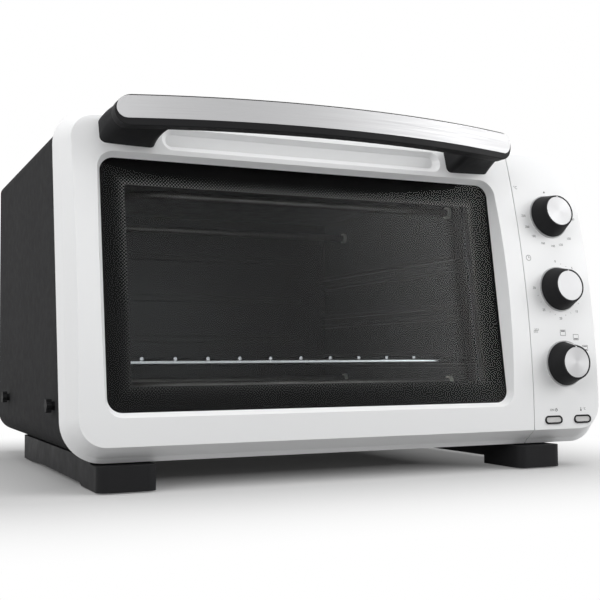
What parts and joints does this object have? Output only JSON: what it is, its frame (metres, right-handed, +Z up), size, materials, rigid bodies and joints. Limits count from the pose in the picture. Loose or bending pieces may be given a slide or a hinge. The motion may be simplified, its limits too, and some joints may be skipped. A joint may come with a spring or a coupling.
{
  "type": "countertop oven",
  "caption": "Countertop electric oven with a bottom-hinged glazed door, bowed handle, leaning front, control knobs, wire rack and crumb tray.",
  "frame": {"origin": "middle of the footprint's bounding box, on the surface that the oven stands on", "axes": "+X to the right seen from the front, +Y to the back, +Z up; the door faces -Y"},
  "size_m": [0.456, 0.4212, 0.2723],
  "materials": {
    "white_moulding": "smooth white heat-resistant moulding",
    "black_moulding": "fine satin black moulding",
    "dark_housing": "satin dark grey powder coat",
    "grey_moulding": "light grey moulding",
    "spun_aluminium": "spun and clear coated",
    "brushed_plate": "brushed along its length",
    "outer_glass": "black dotted border, tinted",
    "inner_glass": "clear heat-resistant pane",
    "plated_steel": "zinc-plated sheet",
    "dark_enamel": "dark non-stick enamel",
    "rack_chrome": "polished plating",
    "element_sheath": "heat-tinted steel sheath",
    "ceramic": "glazed ceramic",
    "pad_rubber": "matt rubber",
    "lamp_lens": "clear amber-red lens",
    "lamp_body": "pale nylon",
    "control_body": "brown phenolic"
  },
  "bodies": {
    "housing": {"base_plate": "plated_steel", "cavity_brackets": "plated_steel", "cavity_liner": "dark_enamel", "control_bracket": "plated_steel", "control_panel": "white_moulding", "cord_gland": "black_moulding", "element_hangers": "plated_steel", "element_insulators": "ceramic", "foot_pads": "pad_rubber", "foot_rail_left": "black_moulding", "foot_rail_right": "black_moulding", "front_frame": "dark_enamel", "function_body": "control_body", "hinge_brackets": "plated_steel", "knob_rings": "grey_moulding", "lamp_bezels": "black_moulding", "lamp_lenses": "lamp_lens", "lower_element": "element_sheath", "outer_wrap": "dark_housing", "pilot_lamps": "lamp_body", "rear_cover": "dark_housing", "side_studs": "black_moulding", "terminal_block": "lamp_body", "thermostat_body": "control_body", "timer_body": "control_body", "upper_element": "element_sheath"},
    "door": {"door_arms": "plated_steel", "door_frame": "white_moulding", "door_inner_frame": "dark_enamel", "door_inner_glass": "inner_glass", "door_outer_glass": "outer_glass", "glass_retainer": "plated_steel", "handle_bar": "black_moulding", "handle_plate": "brushed_plate", "handle_screws": "plated_steel", "hinge_pins": "plated_steel"},
    "thermostat": {"thermostat_knob": "black_moulding", "thermostat_disc": "spun_aluminium", "thermostat_shaft": "plated_steel"},
    "timer": {"timer_knob": "black_moulding", "timer_disc": "spun_aluminium", "timer_shaft": "plated_steel"},
    "function": {"function_knob": "black_moulding", "function_disc": "spun_aluminium", "function_shaft": "plated_steel"},
    "rack": {"wire_rack": "rack_chrome"},
    "tray": {"crumb_tray": "dark_enamel"}
  },
  "joints": [
    {"name": "door_hinge", "type": "hinge", "parent": "housing", "child": "door", "pos_m": [-0.034, -0.16941, 0.03318], "axis": [1, 0, 0], "range_deg": [0, 78]},
    {"name": "thermostat_turn", "type": "hinge", "parent": "housing", "child": "thermostat", "pos_m": [0.1855, -0.15974, 0.21018], "axis": [0, 0.9746, -0.2238], "range_deg": [0, 270]},
    {"name": "timer_turn", "type": "hinge", "parent": "housing", "child": "timer", "pos_m": [0.1855, -0.17146, 0.14773], "axis": [0, 0.9895, -0.1448], "range_deg": [0, 300]},
    {"name": "function_turn", "type": "hinge", "parent": "housing", "child": "function", "pos_m": [0.1855, -0.17806, 0.08552], "axis": [0, 0.9978, -0.066], "range_deg": [-45, 80]},
    {"name": "rack_slide", "type": "slide", "parent": "housing", "child": "rack", "axis": [0, -1, 0], "range_m": [0, 0.071]},
    {"name": "tray_slide", "type": "slide", "parent": "housing", "child": "tray", "axis": [0, -1, 0], "range_m": [0, 0.0246]}
  ],
  "couplings": [
    {"joint": "rack_slide", "follows": "door_hinge", "m_per_rad": 0.052},
    {"joint": "tray_slide", "follows": "door_hinge", "m_per_rad": 0.018}
  ]
}
